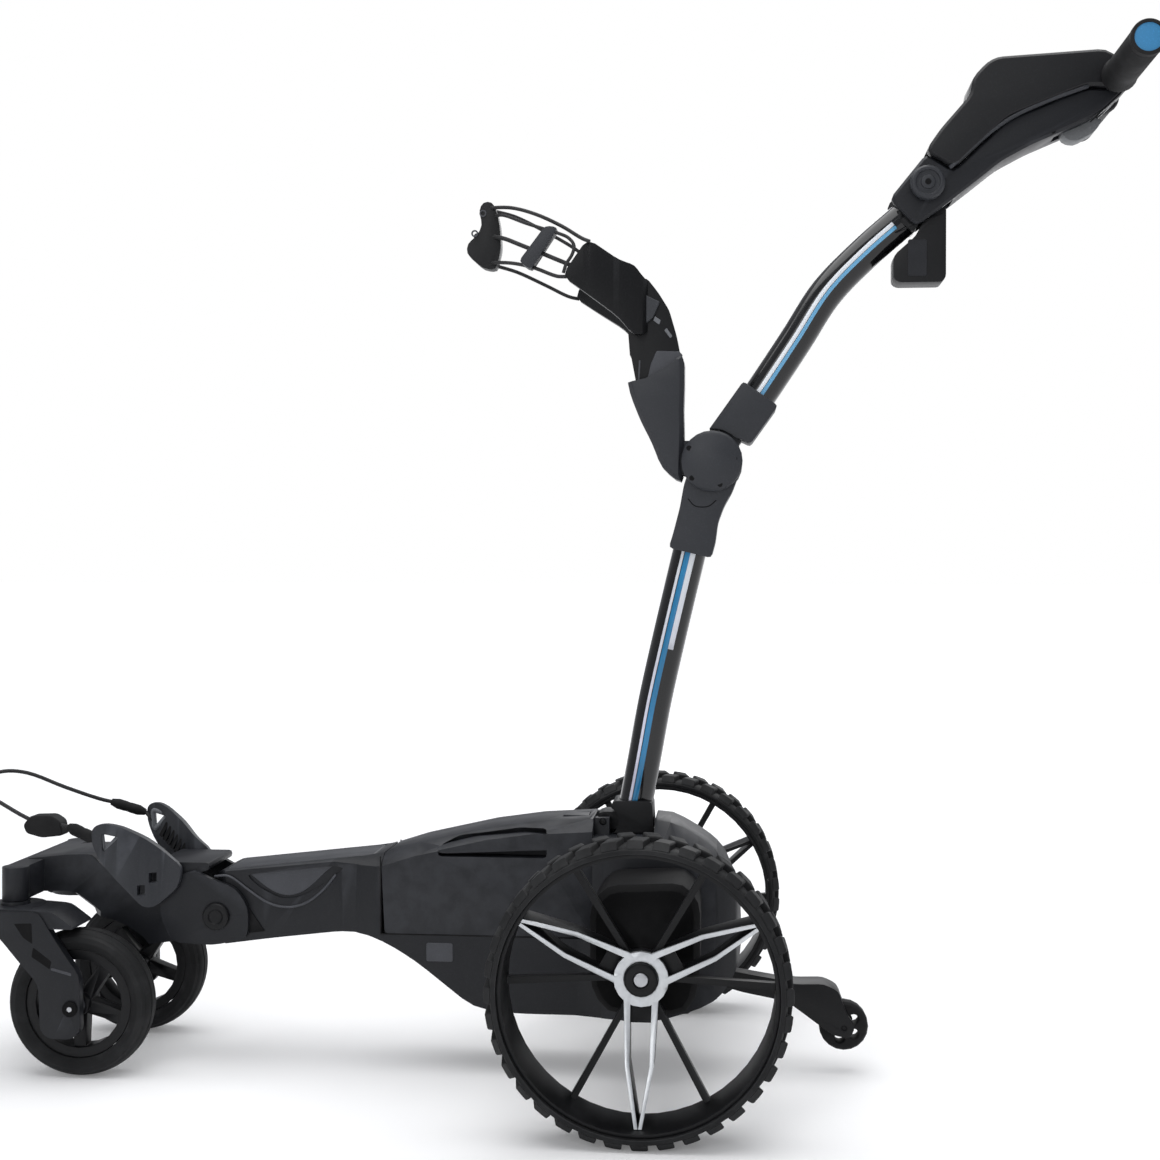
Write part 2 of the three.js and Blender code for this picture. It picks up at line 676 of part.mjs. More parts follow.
function tiltKnob() {
  const { x, z } = HANDLE_TILT;
  const outer = turned([[0, 30.4], [19, 30.4], [20, 33], [20, 40], [17.5, 43], [0, 43]], x, z, 24);
  const dish = ring(x, z, 40.5, 50, 8, 14, 24);
  return cut(outer, dish);
}

function grip() {
  const { x, z, half, radius, grip: r } = BAR;
  const bore = radius + GAP;
  const profile = [
    [bore, 39], [r, 39], [r + 1.5, 46], [r, 56], [r, half - 2], [bore, half - 2], [bore, 39],
  ];
  return turned(profile, x, z, 24);
}

function handleBar() {
  return ring(BAR.x, BAR.z, -BAR.half, BAR.half, BAR.radius - 2, BAR.radius, 24);
}

function speedTrigger() {
  const outline = [[-476, 1112], [-480, 1100], [-494, 1096], [-516, 1108], [-524, 1122], [-500, 1124]];
  return plate(outline, -11.5, 11.5, { corner: 6 });
}

function accessoryBox() {
  const outline = [
    [-284, 966], [-309, 988], [-316, 1002], [-344, 1022.5], [-344, 940], [-340, 934], [-290, 934],
    [-284, 938],
  ];
  return plate(outline, -20, 20, { corner: 5 });
}

part("tube_head", tubeHead(), "black");
part("tilt_pin", tiltPin(), "steel");
part("handle_lower", handleLower(), "shell");
part("handle_upper", handleUpper(), "black");
part("tilt_knob", tiltKnob(), "satin");
part("handle_bar", handleBar(), "steel");
pair("grip", grip(), "rubber");
pair("grip_cap", crossRod(BAR.x, BAR.z, BAR.half + GAP, BAR.half + 8, BAR.grip, 24), "blue");
part("speed_trigger", speedTrigger(), "grey");
part("accessory_box", accessoryBox(), "black");

// ---- folding front ------------------------------------------------------
const FOLD_PLATE = [
  [530.5, 225.7], [497, 214.5], [481, 191.6], [481.7, 153.7], [525, 145], [575, 147.7], [590, 180],
  [590, 215], [548, 236],
];
const NECK = [
  [571, 148], [616, 142], [640, 150], [674, 174], [703, 206], [735, 205], [765, 205], [766, 236],
  [760, 244], [706, 250], [676, 251], [663, 236], [610, 216], [600, 243], [531, 243], [531, 234],
  [571, 225],
];

// Top of the space that a trailing wheel and its fork sweep, as [distance from the kingpin, z].
const SWEEP = [
  [74, 203.5], [98, 182], [98, 175.5], [110, 172.5], [122, 168], [134, 161.5], [146, 152], [156, 140],
  [166, 120],
];

function casterSweep(side) {
  const outline = [[0, 100], [0, 203.5], ...SWEEP, [166, 100], [0, 100]];
  const points = outline.map(([r, z]) => new THREE.Vector2(r, z));
  const swept = new THREE.LatheGeometry(points, 40).rotateX(Math.PI / 2);
  return swept.translate(KINGPIN.x, side * FRONT.track, 0);
}

function frontBracket() {
  const cheeks = [-1, 1].map((s) =>
    plate(FOLD_PLATE, s > 0 ? 44.4 : -52, s > 0 ? 52 : -44.4, { corner: 10 }),
  );
  const neck = plate(NECK, -46, 46, { corner: 6 });
  const spineRoom = block([400, 570.5], [-44.4, 44.4], [100, 233.6]);
  const beam = section([[-96, 205], [96, 205], [96, 240], [88, 244], [-88, 244], [-96, 240]], 737, 763);
  const upright = (side, z0, z1, radius, sides) =>
    rod([KINGPIN.x, side * FRONT.track, z0], [KINGPIN.x, side * FRONT.track, z1], radius, sides);
  const posts = [-1, 1].map((s) => upright(s, KINGPIN.bottom, KINGPIN.top, KINGPIN.radius, 24));
  const bores = [-1, 1].map((s) => upright(s, 190, 232, KINGPIN.pin + GAP, BORE_SIDES));
  const boltHole = crossRod(FRONT_FOLD.x, FRONT_FOLD.z, -60, 60, FRONT_FOLD.bolt + GAP);
  const clearNeck = cut(neck, spineRoom, casterSweep(1), casterSweep(-1));
  return cut(fuse(...cheeks, clearNeck, beam, ...posts), ...bores, boltHole);
}

const ARM_SIDE = [
  [560, 240], [565, 215], [592, 192], [604, 194], [648, 251], [657, 272], [657, 288.5], [652, 294],
  [641, 295.5], [626, 291], [600, 275], [575, 252],
];
const ARM_PLAN = [
  [555, 52.4], [585, 52.4], [606, 64], [640, 84], [662, 90], [662, 97], [636, 91], [600, 72],
  [580, 60], [555, 59],
];

function lowerArm() {
  const flare = common(
    plate(ARM_SIDE, 40, 110, { corner: 8 }),
    slab(ARM_PLAN, 180, 310, { corner: 6 }),
  );
  const eye = plate([[627, 279], [647, 284], [645, 261]], 60, 110, { corner: 4 });
  const slots = [
    block([589, 597], [40, 110], [222, 234]),
    block([601, 609], [40, 110], [208, 220]),
  ];
  return cut(flare, eye, ...slots);
}

const LOWER_STRAP = [
  [648, 86, 271], [660, 91, 280], [690, 84, 290], [740, 66, 293], [791, 48, 312], [830, 22, 324],
  [838, 0, 334], [820, -24, 341], [797, -42, 337], [753, -58, 317], [710, -76, 299],
  [668, -90, 288], [648, -86, 272],
];

function foldBolt() {
  const { x, z, bolt } = FRONT_FOLD;
  const head = turned([[0, 52.4], [16.5, 52.4], [16.5, 55], [15, 57], [9, 57], [8, 55], [0, 55]], x, z, 24);
  return fuse(crossRod(x, z, -54, 54, bolt), head, mirrored(head));
}

const lowerStrapRoom = curved(LOWER_STRAP, CORD.lower + 0.5, 8, 22);
part("front_bracket", frontBracket(), "shell");
part("fold_bolt", foldBolt(), "black");
part("lower_arm_left", cut(lowerArm(), lowerStrapRoom), "satin");
part("lower_arm_right", cut(mirrored(lowerArm()), lowerStrapRoom), "satin");
part("lower_strap", curved(LOWER_STRAP, CORD.lower, 8, 22), "rubber");

// ---- front wheels -------------------------------------------------------
const FORK_SIDE = [
  [716, 178], [786, 178], [786, 190], [780, 200], [716, 200], [690, 198], [662, 178],
];
const LEG_SIDE = [
  [782, 198], [770, 182], [752, 166], [729, 139], [706, 114], [704, 60], [694, 51], [666, 51],
  [656, 60], [657, 126], [671, 144], [690, 172], [706, 198],
];

function fork() {
  const { track, width, x } = FRONT;
  const crown = rod([KINGPIN.x, track, 178], [KINGPIN.x, track, 200], 35, 20);
  const bridge = plate(FORK_SIDE, track - 20, track + 36, { corner: 6 });
  const leg = plate(LEG_SIDE, track + width / 2 + 4, track + width / 2 + 16, { corner: 8 });
  const pin = rod([KINGPIN.x, track, 190], [KINGPIN.x, track, 228], KINGPIN.pin);
  const seat = rod([KINGPIN.x, track, 199], [KINGPIN.x, track, 204], 17, 24);
  const tyreRoom = crossRod(x, FRONT.radius, track - 24, track + 25, FRONT.radius + 4, 48);
  const axleHole = crossRod(x, FRONT.radius, track - 40, track + 60, FRONT.axle + GAP);
  return cut(fuse(cut(fuse(crown, bridge), tyreRoom), leg, pin, seat), axleHole);
}

function frontTyre() {
  const { x, radius, track, width, rim } = FRONT;
  const half = width / 2;
  const r = radius - rim;
  const profile = [];
  const steps = 6;
  for (let i = 0; i <= steps; i++) {
    const a = Math.PI * (i / steps) - Math.PI / 2;
    profile.push([rim + r * Math.cos(a), track + half * Math.sin(a)]);
  }
  profile.push([rim - 2, track + 15], [rim - 2, track - 15]);
  const clean = profile.filter(([a, b], i) => {
    const [c, d] = profile[(i + 1) % profile.length];
    return Math.hypot(a - c, b - d) > 0.01;
  });
  return turned([...clean, clean[0]], x, radius, 24);
}

function frontRim() {
  const { x, radius, track, rim, axle } = FRONT;
  const skin = ring(0, 0, track - 13.5, track + 13.5, rim - 14, rim - 2.4, 24);
  const hub = ring(0, 0, track - 18, track + 18, axle + GAP, 14, 20);
  const spokes = Array.from({ length: 5 }, (_, i) =>
    aboutAxle(plate([[-9, -8], [9, -8], [7, -55], [-7, -55]], track - 7, track + 9), 0, 0, i * 72),
  );
  const wheel = fuse(skin, hub, ...spokes).translate(x, 0, radius);
  return cut(wheel, crossRod(x, radius, track - 30, track + 30, axle + GAP));
}

pair("fork", fork(), "shell");
pair("front_tyre", frontTyre(), "rubber");
pair("front_rim", frontRim(), "black");
pair(
  "front_axle",
  crossRod(FRONT.x, FRONT.radius, FRONT.track - 19, FRONT.track + 41, FRONT.axle),
  "steel",
);

// ---- anti-tip wheel -----------------------------------------------------
function antiTipArm() {
  const side = [
    [-58, 125], [-58, 108], [-110, 94], [-165, 84], [-215, 48], [-236, 44], [-242, 60], [-232, 72],
    [-222, 100], [-205, 108], [-173, 107],
  ];
  const arm = plate(side, -19, 19, { corner: 6 });
  const neck = [-1, 1].map((s) => block([-150, -40], s > 0 ? [11.5, 40] : [-40, -11.5], [80, 160]));
  const wheelRoom = crossRod(ANTI_TIP.wheelX, ANTI_TIP.wheelZ, -13, 13, ANTI_TIP.radius + 3, 16);
  const behind = block([-300, ANTI_TIP.wheelX], [-13, 13], [0, 120]);
  const axle = crossRod(ANTI_TIP.wheelX, ANTI_TIP.wheelZ, -30, 30, 3 + GAP);
  const trunnion = crossRod(ANTI_TIP.x, ANTI_TIP.z, -22, 22, 4);
  return fuse(cut(arm, ...neck, wheelRoom, behind, axle), trunnion);
}

function antiTipWheel() {
  const { wheelX, wheelZ, radius } = ANTI_TIP;
  const profile = [
    [0, -18.5], [3, -18.5], [3, -11], [radius - 3, -11], [radius, -7],
    [radius, 7], [radius - 3, 11], [3, 11], [3, 18.5], [0, 18.5],
  ];
  const windows = Array.from({ length: 5 }, (_, i) => {
    const a = (i * 2 * Math.PI) / 5;
    return crossRod(wheelX + 14.5 * Math.cos(a), wheelZ + 14.5 * Math.sin(a), -20, 20, 6.2);
  });
  return cut(turned(profile, wheelX, wheelZ, 20), ...windows);
}

part("anti_tip_arm", antiTipArm(), "black");
part("anti_tip_wheel", antiTipWheel(), "rubber");

// ---- frame --------------------------------------------------------------
const CORDS = ["upper_strap_top", "upper_strap_low", "strap_hook", "strap_slider", "lower_strap"];
const bounds = new THREE.Box3();
for (const mesh of group.children.filter((m) => !CORDS.includes(m.name))) bounds.expandByObject(mesh);
group.position.set(-(bounds.min.x + bounds.max.x) / 2, 0, -bounds.min.z);

export default group;
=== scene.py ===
import math

import bmesh
import bpy
from mathutils import Matrix, Vector


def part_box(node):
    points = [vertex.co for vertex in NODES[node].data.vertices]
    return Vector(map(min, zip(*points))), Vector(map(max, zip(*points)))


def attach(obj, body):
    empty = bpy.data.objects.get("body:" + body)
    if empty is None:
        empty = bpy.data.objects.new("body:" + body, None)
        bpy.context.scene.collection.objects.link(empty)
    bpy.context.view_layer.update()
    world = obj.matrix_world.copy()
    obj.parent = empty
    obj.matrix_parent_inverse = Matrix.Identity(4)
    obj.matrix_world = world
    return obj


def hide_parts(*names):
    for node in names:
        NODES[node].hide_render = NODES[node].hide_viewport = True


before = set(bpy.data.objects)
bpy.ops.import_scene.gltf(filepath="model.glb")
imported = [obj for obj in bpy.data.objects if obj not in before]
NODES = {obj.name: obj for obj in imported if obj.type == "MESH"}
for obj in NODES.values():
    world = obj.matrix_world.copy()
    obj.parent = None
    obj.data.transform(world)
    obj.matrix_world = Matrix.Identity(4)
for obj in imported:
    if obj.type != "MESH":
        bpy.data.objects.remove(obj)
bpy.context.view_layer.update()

# ---- places: millimetres from the rear axle line, turned into the frame's metres ----
MM_PER_METRE = 1000
AXLE = sum(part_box("rear_tyre_left"), Vector()) / 2


def at(x, y, z):
    return Vector((x / MM_PER_METRE + AXLE.x, y / MM_PER_METRE, z / MM_PER_METRE))


def both_sides(make):
    """Calls make for the left side, +Y, and then for the right."""
    for word, side in (("left", 1), ("right", -1)):
        make(word, side)


# ---- camera: place in millimetres, turns away from looking straight along -Y ----
CAMERA_PLACE = (-95.6, 1958.8, 598.3)
YAW, PITCH, ROLL = math.radians(5.32), math.radians(-0.405), math.radians(0.081)
FOCAL_LENGTH, SENSOR_WIDTH, FAR_CLIP = 50.61, 36, 200


def make_camera():
    ahead = Vector((math.sin(YAW) * math.cos(PITCH), -math.cos(YAW) * math.cos(PITCH), math.sin(PITCH)))
    right = Vector((-math.cos(YAW), -math.sin(YAW), 0))
    above = right.cross(ahead)
    right, above = (
        right * math.cos(ROLL) + above * math.sin(ROLL),
        above * math.cos(ROLL) - right * math.sin(ROLL),
    )
    camera = bpy.data.objects.new("camera", bpy.data.cameras.new("camera"))
    bpy.context.scene.collection.objects.link(camera)
    camera.data.lens = FOCAL_LENGTH
    camera.data.sensor_width = SENSOR_WIDTH
    camera.data.clip_end = FAR_CLIP
    camera.rotation_mode = "QUATERNION"
    camera.rotation_quaternion = Matrix((right, above, -ahead)).transposed().to_quaternion()
    camera.location = at(*CAMERA_PLACE)
    bpy.context.scene.camera = camera


make_camera()

# ---- materials ----
MATERIALS = {}
MIDDLE = (0.3, 0.7)  # the span that holds most of a noise's values
FULL = (0, 1)


class Graph:
    """A material and short ways to add nodes to it, all in the object's own coordinates."""

    def __init__(self, name):
        self.material = bpy.data.materials.new(name)
        self.material.use_nodes = True
        self.tree = self.material.node_tree
        self.shader = self.tree.nodes["Principled BSDF"]
        self.place = self.add("ShaderNodeTexCoord").outputs["Object"]
        MATERIALS[name] = self.material

    def add(self, kind, **settings):
        node = self.tree.nodes.new(kind)
        for key, value in settings.items():
            setattr(node, key, value)
        return node

    def link(self, source, target):
        self.tree.links.new(source, target)

    def stretched(self, scale):
        """The object's coordinates, scaled along each axis."""
        mapping = self.add("ShaderNodeMapping")
        mapping.inputs["Scale"].default_value = scale
        self.link(self.place, mapping.inputs["Vector"])
        return mapping.outputs["Vector"]

    def noise(self, scale, detail, stretch=None):
        node = self.add("ShaderNodeTexNoise")
        node.inputs["Scale"].default_value = scale
        node.inputs["Detail"].default_value = detail
        place = self.stretched(stretch) if stretch else self.place
        self.link(place, node.inputs["Vector"])
        return node.outputs["Fac"]

    def spread(self, value, source, target):
        """Maps the span source onto the span target."""
        node = self.add("ShaderNodeMapRange")
        for key, number in zip(("From Min", "From Max", "To Min", "To Max"), (*source, *target)):
            node.inputs[key].default_value = number
        self.link(value, node.inputs["Value"])
        return node.outputs["Result"]

    def mix(self, factor, first, second):
        """Blends two colours; each may be a fixed colour or another node's output."""
        node = self.add("ShaderNodeMix", data_type="RGBA")
        factor_socket, first_socket, second_socket = node.inputs[0], node.inputs[6], node.inputs[7]
        for socket, value in ((first_socket, first), (second_socket, second)):
            if hasattr(value, "links"):
                self.link(value, socket)
            else:
                socket.default_value = (*value, 1)
        self.link(factor, factor_socket)
        return node.outputs[2]

    def multiply(self, first, second):
        node = self.add("ShaderNodeMath", operation="MULTIPLY")
        self.link(first, node.inputs[0])
        self.link(second, node.inputs[1])
        return node.outputs[0]

    def bump(self, height, distance, strength, under=None):
        """Relief of the given depth in metres, laid over another relief if one is given."""
        node = self.add("ShaderNodeBump")
        node.inputs["Distance"].default_value = distance
        node.inputs["Strength"].default_value = strength
        self.link(height, node.inputs["Height"])
        if under:
            self.link(under, node.inputs["Normal"])
        return node.outputs["Normal"]

    def finish(self, colour, roughness, normal, **values):
        """Wires the three main inputs of the shader and sets the rest."""
        for key, source in (("Base Color", colour), ("Roughness", roughness), ("Normal", normal)):
            self.link(source, self.shader.inputs[key])
        for key, value in values.items():
            self.shader.inputs[key.replace("_", " ")].default_value = value


def tone(colour, factor, lift=0.0):
    """The same hue made lighter or darker."""
    return tuple(min(1, c * factor + lift) for c in colour)


def edge_wear_and_highlight(graph, sharpness=(0.53, 0.6)):
    """How rubbed and how lit a place is: sharp edges made paler, partly as wear and partly as a painted edge
    highlight, broken up by noise.
    """
    pointiness = graph.add("ShaderNodeNewGeometry").outputs["Pointiness"]
    worn_and_lit = graph.spread(pointiness, sharpness, (0.0, 0.75))
    broken = graph.spread(graph.noise(scale=55, detail=4), (0.35, 0.65), (0.35, 1.0))
    return graph.multiply(worn_and_lit, broken)


def moulded(name, colour, roughness, specular=0.35):
    """Injection-moulded plastic: spark-eroded grain, cloudy colour, rubbed edges that are partly a painted
    edge highlight, a little dust.
    """
    graph, grain = Graph(name), 900
    clouds = graph.spread(graph.noise(scale=7, detail=5), MIDDLE, FULL)
    cloudy = graph.mix(clouds, tone(colour, 0.93), tone(colour, 1.07))
    dust = graph.spread(graph.noise(scale=grain * 0.6, detail=1), (0.55, 0.75), (0, 0.35))
    dusty = graph.mix(dust, cloudy, tone(colour, 1.6, 0.004))
    # Sharp edges are made paler: partly rubbed wear, partly a painted highlight.
    worn_and_lit = graph.mix(edge_wear_and_highlight(graph), dusty, tone(colour, 2.2, 0.012))
    gloss = graph.spread(graph.noise(scale=16, detail=6), MIDDLE, (roughness - 0.02, roughness + 0.04))
    broad = graph.bump(graph.noise(scale=22, detail=1), distance=0.0004, strength=0.25)
    fine = graph.bump(graph.noise(grain, detail=2), distance=0.00006, strength=0.7, under=broad)
    graph.finish(worn_and_lit, gloss, fine, Specular_IOR_Level=specular)


def lacquered(name, colour, fade_heights=None, top_colour=None):
    """Gloss paint over tube: faint orange peel and hairline scratches; it may fade up the tube."""
    graph = Graph(name)
    clouds = graph.spread(graph.noise(scale=11, detail=4), (0.35, 0.65), FULL)
    paint = graph.mix(clouds, colour, tone(colour, 1.5, 0.002))
    if top_colour:
        along = graph.add("ShaderNodeSeparateXYZ")
        graph.link(graph.place, along.inputs[0])
        paint = graph.mix(graph.spread(along.outputs["Z"], fade_heights, FULL), paint, top_colour)
    scratches = graph.noise(scale=60, detail=5, stretch=(1, 1, 0.08))
    scratched = graph.spread(scratches, (0.45, 0.8), (0.12, 0.3))
    peel = graph.bump(graph.noise(scale=260, detail=1), distance=0.00003, strength=0.5)
    graph.finish(paint, scratched, peel, Coat_Weight=0.35, Coat_Roughness=0.06, Specular_IOR_Level=0.35)


def metal(name, colour, roughness, relief=0.00003, brushed=(1, 18, 1)):
    """Metal with fine streaks in its tone, gloss and relief."""
    graph = Graph(name)
    streaks = graph.noise(scale=120, detail=6, stretch=brushed)
    streaked = graph.mix(graph.spread(streaks, MIDDLE, FULL), tone(colour, 0.82), colour)
    gloss = graph.spread(streaks, MIDDLE, (roughness - 0.06, roughness + 0.1))
    graph.finish(streaked, gloss, graph.bump(streaks, relief, strength=0.5), Metallic=0.9)


def rubber(name, colour, grain=420):
    """Matt rubber with fine moulding texture, paler scuffs on the high spots."""
    graph = Graph(name)
    scuffs = graph.spread(graph.noise(scale=38, detail=8), (0.5, 0.78), (0, 0.6))
    scuffed = graph.mix(scuffs, colour, tone(colour, 2.1, 0.006))
    # Sharp edges are made paler: partly rubbed wear, partly a painted highlight.
    worn_and_lit = graph.mix(edge_wear_and_highlight(graph, (0.54, 0.64)), scuffed, tone(colour, 2.6, 0.01))
    gloss = graph.spread(graph.noise(scale=24, detail=5), MIDDLE, (0.62, 0.85))
    relief = graph.bump(graph.noise(grain, detail=3), distance=0.00012, strength=0.7)
    graph.finish(worn_and_lit, gloss, relief, Specular_IOR_Level=0.3)


def braided(name, colour, pitch=700):
    """Woven cord jacket: two crossing diagonal waves."""
    graph = Graph(name)
    waves = []
    for direction in ((pitch, pitch, pitch), (pitch, -pitch, pitch)):
        place = graph.stretched(direction)
        wave = graph.add("ShaderNodeTexWave", bands_direction="DIAGONAL")
        wave.inputs["Scale"].default_value = 0.3
        graph.link(place, wave.inputs["Vector"])
        waves.append(wave.outputs["Fac"])
    weave = graph.multiply(*waves)
    woven = graph.mix(weave, tone(colour, 0.6), tone(colour, 1.9, 0.004))
    gloss = graph.spread(graph.noise(scale=90, detail=3), MIDDLE, (0.6, 0.8))
    graph.finish(woven, gloss, graph.bump(weave, distance=0.0002, strength=0.8))


moulded("shell_plastic", (0.0075, 0.0083, 0.0108), 0.45, specular=0.3)
moulded("mid_plastic", (0.021, 0.0228, 0.0275), 0.46)
moulded("light_plastic", (0.04, 0.042, 0.049), 0.45)
moulded("pale_plastic", (0.11, 0.115, 0.125), 0.45)
moulded("black_plastic", (0.0042, 0.0044, 0.0052), 0.42, specular=0.25)
moulded("trigger_plastic", (0.12, 0.125, 0.13), 0.5)
moulded("cap_plastic", (0.04, 0.2, 0.4), 0.4)
moulded("cover_plastic", (0.0068, 0.0072, 0.0085), 0.42, specular=0.3)
# This material is darker than black_plastic and dull: painted shade for holes, pockets, seams, creases,
# screw hollows and parts deep in hollows.
moulded("recess_shade", (0.0022, 0.0022, 0.0026), 0.7, specular=0.15)
moulded("board", (0.01, 0.09, 0.03), 0.5)
lacquered("tube_gloss", (0.002, 0.002, 0.0026))
lacquered("stripe_silver", (0.5, 0.5, 0.6), (0.35, 0.6), (0.66, 0.69, 0.73))
lacquered("stripe_blue", (0.012, 0.14, 0.29), (0.62, 0.85), (0.13, 0.36, 0.58))
metal("silver_trim", (0.66, 0.68, 0.7), 0.38, relief=0.000003, brushed=(1, 1, 1))
metal("steel", (0.5, 0.51, 0.53), 0.32)
rubber("tyre_rubber", (0.0085, 0.0088, 0.0095))
rubber("grip_rubber", (0.0065, 0.0065, 0.0072), grain=700)
rubber("pad_rubber", (0.004, 0.004, 0.0045), grain=600)
braided("cord_jacket", (0.012, 0.012, 0.013))

# ---- shapes: every size from here to the floor is in millimetres ----
SHARP_ANGLE = math.radians(34)
CORNER_SHARE = 0.45
RING_SIDES, CAP_SIDES, GRIP_SIDES = 24, 32, 48


def bevel(obj, width, segments):
    """Rounds every edge sharper than SHARP_ANGLE."""
    modifier = obj.modifiers.new("edges", "BEVEL")
    modifier.width = width / MM_PER_METRE
    modifier.segments = segments
    modifier.limit_method = "ANGLE"
    modifier.angle_limit = SHARP_ANGLE
    modifier.harden_normals = True


def dress(obj, material):
    """Gives an object one material and smooth faces."""
    obj.data.materials.clear()
    obj.data.materials.append(MATERIALS[material])
    for polygon in obj.data.polygons:
        polygon.use_smooth = True


def finished(obj, material, body, rounding=0.0, segments=2):
    dress(obj, material)
    if rounding:
        bevel(obj, rounding, segments)
    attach(obj, body)
    return obj


def piece(name, points, faces):
    """A mesh object in the scene, from points in metres."""
    mesh = bpy.data.meshes.new(name)
    mesh.from_pydata([tuple(p) for p in points], [], faces)
    mesh.validate()
    mesh.update()
    obj = bpy.data.objects.new(name, mesh)
    bpy.context.scene.collection.objects.link(obj)
    return obj


def outward(obj):
    """Turns every face outwards."""
    shape = bmesh.new()
    shape.from_mesh(obj.data)
    bmesh.ops.recalc_face_normals(shape, faces=shape.faces)
    shape.to_mesh(obj.data)
    shape.free()
    return obj


def rounded(points, corner, steps=4):
    """Outline with each corner replaced by a short curve."""
    out = []
    for i, (x, y) in enumerate(points):
        (px, py), (nx, ny) = points[i - 1], points[(i + 1) % len(points)]
        before, after = math.hypot(px - x, py - y), math.hypot(nx - x, ny - y)
        r = min(corner, before * CORNER_SHARE, after * CORNER_SHARE)
        a = (x + (px - x) * r / before, y + (py - y) * r / before)
        b = (x + (nx - x) * r / after, y + (ny - y) * r / after)
        for k in range(steps + 1):
            t = k / steps
            weights = ((1 - t) ** 2, 2 * t * (1 - t), t * t)
            out.append(tuple(sum(w * c for w, c in zip(weights, row)) for row in zip(a, (x, y), b)))
    return out


def plate(name, outline, y0, y1, corner=0):
    """Outline in X and Z, thickness along Y."""
    outline = rounded(outline, corner) if corner else outline
    n = len(outline)
    points = [at(x, y, z) for y in (y0, y1) for x, z in outline]
    faces = [tuple(range(n)), tuple(range(2 * n - 1, n - 1, -1))]
    faces += [(i, i + n, (i + 1) % n + n, (i + 1) % n) for i in range(n)]
    return outward(piece(name, points, faces))


def disc(name, x, z, y0, y1, radius, sides=RING_SIDES):
    turns = [2 * math.pi * i / sides for i in range(sides)]
    outline = [(x + radius * math.cos(a), z + radius * math.sin(a)) for a in turns]
    return plate(name, outline, y0, y1)


def lathe(name, section, side, x, z, sides, middle=0):
    """Closed section of (radius, y from middle), for the left side, turned about a crosswise line."""
    points, faces, n = [], [], len(section)
    for i in range(sides):
        a = 2 * math.pi * i / sides
        points += [at(x + r * math.cos(a), side * (middle + y), z + r * math.sin(a)) for r, y in section]
    for i in range(sides):
        j = (i + 1) % sides
        faces += [(i * n + k, i * n + (k + 1) % n, j * n + (k + 1) % n, j * n + k) for k in range(n)]
    return outward(piece(name, points, faces))


def between(a, b, start, end, t):
    """The point at t on the line that is at a when t is start, and at b when t is end."""
    return a * ((end - t) / (end - start)) + b * ((t - start) / (end - start))


def spline(points, steps):
    """Centripetal Catmull-Rom curve through the points."""
    pts = [Vector(p) for p in points]
    pts = [pts[0] * 2 - pts[1], *pts, pts[-1] * 2 - pts[-2]]
    out = []
    for i in range(1, len(pts) - 2):
        p = pts[i - 1 : i + 3]
        t = [0.0]
        for a, b in zip(p, p[1:]):
            t.append(t[-1] + max((b - a).length ** 0.5, 1e-6))
        for k in range(steps):
            now = t[1] + (t[2] - t[1]) * k / steps
            first, second, third = (between(p[j], p[j + 1], t[j], t[j + 1], now) for j in range(3))
            early = between(first, second, t[0], t[2], now)
            late = between(second, third, t[1], t[3], now)
            out.append(between(early, late, t[1], t[2], now))
    out.append(pts[-2])
    return out


def frames(path):
    """A tangent and two cross directions at each point, carried along without twist."""
    tangents = []
    for i in range(len(path)):
        a, b = path[max(i - 1, 0)], path[min(i + 1, len(path) - 1)]
        tangents.append((b - a).normalized())
    side = tangents[0].cross(Vector((0, 1, 0)))
    runs_crosswise = side.length <= 0.1
    side = Vector((1, 0, 0)) if runs_crosswise else side.normalized()
    rows = []
    for t in tangents:
        side = (side - t * side.dot(t)).normalized()
        rows.append((t, side, t.cross(side)))
    return rows


def pipe(name, path, radius, sides):
    """Closed round bar along a path; radius may be one number or one for each point."""
    radii = radius if isinstance(radius, list) else [radius] * len(path)
    points, faces = [], []
    for p, r, (_, u, v) in zip(path, radii, frames(path)):
        for k in range(sides):
            a = 2 * math.pi * k / sides
            points.append(at(*(p + u * (r * math.cos(a)) + v * (r * math.sin(a)))))
    for i in range(len(path) - 1):
        for k in range(sides):
            j = (k + 1) % sides
            faces.append((i * sides + k, i * sides + j, (i + 1) * sides + j, (i + 1) * sides + k))
    last = (len(path) - 1) * sides
    faces += [tuple(range(sides)), tuple(last + k for k in reversed(range(sides)))]
    return outward(piece(name, points, faces))


STRIPE_SINK, STRIPE_RISE, STRIPE_CUTS = 0.4, 0.35, 6


def band(name, path, side, radius, low, high):
    """A stripe on the side of a tube, between two angles up from the crosswise line."""
    points, faces, n = [], [], len(path)
    for p, (t, _, _) in zip(path, frames(path)):
        across = Vector((0, side, 0))
        up = Vector((-t.z, 0, t.x))
        for r in (radius - STRIPE_SINK, radius + STRIPE_RISE):
            for k in range(STRIPE_CUTS + 1):
                a = low + (high - low) * k / STRIPE_CUTS
                points.append(at(*(p + across * (r * math.cos(a)) + up * (r * math.sin(a)))))
    row = 2 * (STRIPE_CUTS + 1)
    loop = list(range(STRIPE_CUTS + 1)) + list(range(row - 1, STRIPE_CUTS, -1))
    for i in range(n - 1):
        for k in range(row):
            a, b = loop[k], loop[(k + 1) % row]
            faces.append((i * row + a, i * row + b, (i + 1) * row + b, (i + 1) * row + a))
    faces += [tuple(loop), tuple((n - 1) * row + k for k in reversed(loop))]
    return outward(piece(name, points, faces))


